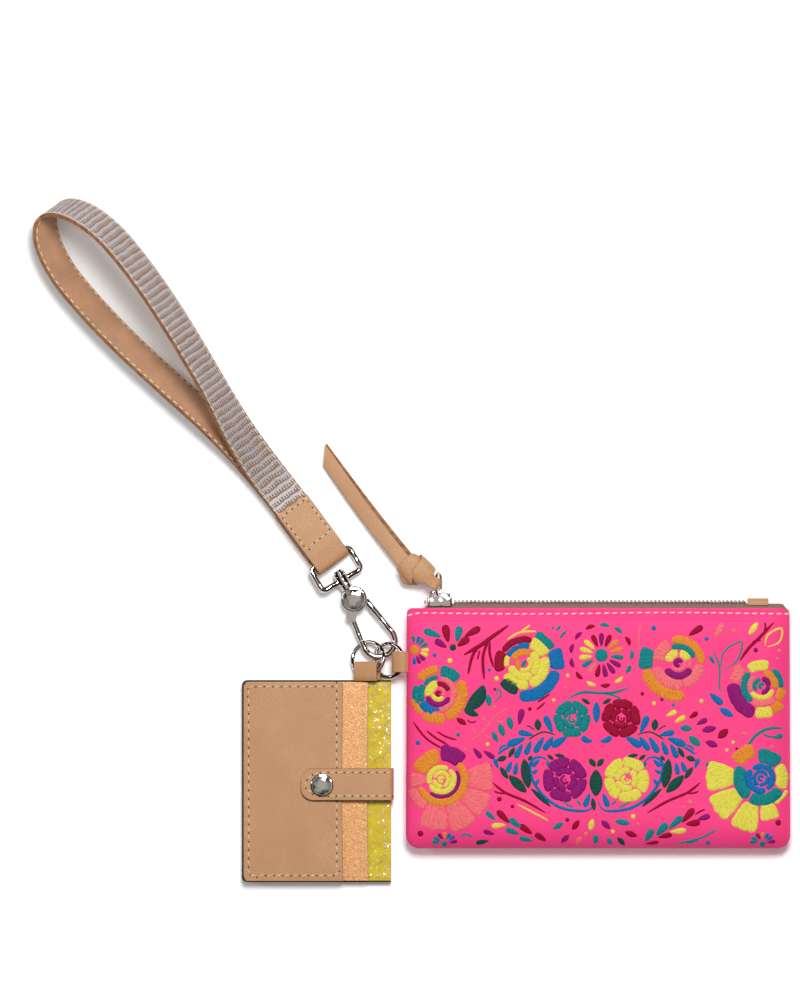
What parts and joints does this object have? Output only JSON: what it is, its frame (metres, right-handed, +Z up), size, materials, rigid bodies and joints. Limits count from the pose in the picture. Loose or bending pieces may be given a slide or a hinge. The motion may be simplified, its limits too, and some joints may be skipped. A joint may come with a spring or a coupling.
{
  "type": "wristlet wallet",
  "caption": "Leather zip pouch with a clip-on card case and a looped wrist strap, all joined by a swivel snap hook and rings.",
  "frame": {"origin": "centre of the pouch's underside, on the surface it lies on", "axes": "+Z up out of the pouch's front, +Y towards the zip, +X towards the zip's leather end tab"},
  "size_m": [0.3786, 0.3417, 0.0468],
  "materials": {
    "pink_leather": "smooth",
    "lining": "woven",
    "zip_tape": "woven",
    "nickel": "polished",
    "tan_leather": "natural",
    "foil_leather": "metallic bands",
    "navy_board": "raw edge",
    "copper_leather": "metallic",
    "glitter_fabric": "glitter",
    "clear_vinyl": "clear",
    "spring_steel": "plain"
  },
  "bodies": {
    "pouch": {"pouch_front_panel": "pink_leather", "pouch_back_panel": "pink_leather", "pouch_front_lining": "lining", "pouch_back_lining": "lining", "pouch_ring_tab": "tan_leather", "zip_tape_front": "zip_tape", "zip_tape_back": "zip_tape", "zip_teeth_front": "nickel", "zip_teeth_back": "nickel", "zip_stops": "nickel", "zip_end_tab": "tan_leather"},
    "zip_slider": {"slider_body": "nickel", "slider_bridge": "nickel"},
    "pull_ring": {"pull_ring": "nickel"},
    "thong": {"leather_thong": "tan_leather"},
    "pouch_ring": {"pouch_ring": "nickel"},
    "hook": {"hook_frame": "nickel", "hook_front_cap": "nickel", "hook_back_cap": "nickel", "gate_pivot_pin": "nickel", "gate_spring": "spring_steel", "swivel_post": "nickel"},
    "gate": {"hook_gate": "nickel"},
    "bail": {"swivel_bail": "nickel"},
    "strap": {"strap_outer_ply": "foil_leather", "strap_lining_ply": "tan_leather", "strap_end_wrap": "tan_leather"},
    "card_ring": {"card_ring": "nickel", "card_ring_tab": "tan_leather"},
    "card_case": {"case_window_frame": "tan_leather", "id_window": "clear_vinyl", "case_back_panel": "navy_board", "case_centre_board": "navy_board", "case_rear_pocket": "glitter_fabric", "case_middle_pocket": "copper_leather", "case_front_pocket": "tan_leather", "snap_stud": "nickel", "snap_post": "nickel", "snap_tab_root": "tan_leather"},
    "snap_tab": {"snap_tab_strap": "tan_leather", "snap_cap": "nickel", "snap_socket": "nickel"}
  },
  "joints": [
    {"name": "zip_slide", "type": "slide", "parent": "pouch", "child": "zip_slider", "axis": [1, 0, 0], "range_m": [0, 0.146]},
    {"name": "pull_ring_swing", "type": "hinge", "parent": "zip_slider", "child": "pull_ring", "pos_m": [-0.0797, 0.0676, 0.009], "axis": [1, 0, 0], "range_deg": [0, 35]},
    {"name": "thong_swing", "type": "hinge", "parent": "pull_ring", "child": "thong", "pos_m": [-0.08079, 0.0715, 0.01201], "axis": [0, 1, 0], "range_deg": [0, 40]},
    {"name": "pouch_ring_swing", "type": "hinge", "parent": "pouch", "child": "pouch_ring", "pos_m": [-0.09865, 0.0334, 0.00949], "axis": [0, 1, 0], "range_deg": [0, 20]},
    {"name": "hook_turn", "type": "hinge", "parent": "pouch_ring", "child": "hook", "pos_m": [-0.10952, 0.04303, 0.0046], "axis": [0, 0, 1], "range_deg": [-4, 16]},
    {"name": "gate_open", "type": "hinge", "parent": "hook", "child": "gate", "pos_m": [-0.12326, 0.05557, 0.0046], "axis": [0, 0, 1], "range_deg": [0, 18], "stiffness_Nm_per_rad": 0.02},
    {"name": "swivel", "type": "hinge", "parent": "hook", "child": "bail", "pos_m": [-0.122, 0.064, 0.0046], "axis": [0.5114, -0.8593, 0], "continuous": true},
    {"name": "strap_pivot", "type": "hinge", "parent": "bail", "child": "strap", "pos_m": [-0.13428, 0.08462, 0.0046], "axis": [0.8405, 0.5003, -0.2079], "range_deg": [0, 60]},
    {"name": "card_ring_turn", "type": "hinge", "parent": "pouch_ring", "child": "card_ring", "pos_m": [-0.10952, 0.04303, 0.0046], "axis": [0, 0, 1], "range_deg": [-20, 0]},
    {"name": "card_case_flip", "type": "hinge", "parent": "card_ring", "child": "card_case", "pos_m": [-0.1154, 0.02365, 0.008], "axis": [-1, 0, 0], "range_deg": [0, 60]},
    {"name": "snap_tab_open", "type": "hinge", "parent": "card_case", "child": "snap_tab", "pos_m": [-0.1022, -0.0285, 0.009], "axis": [0, 1, 0], "range_deg": [0, 140]}
  ]
}
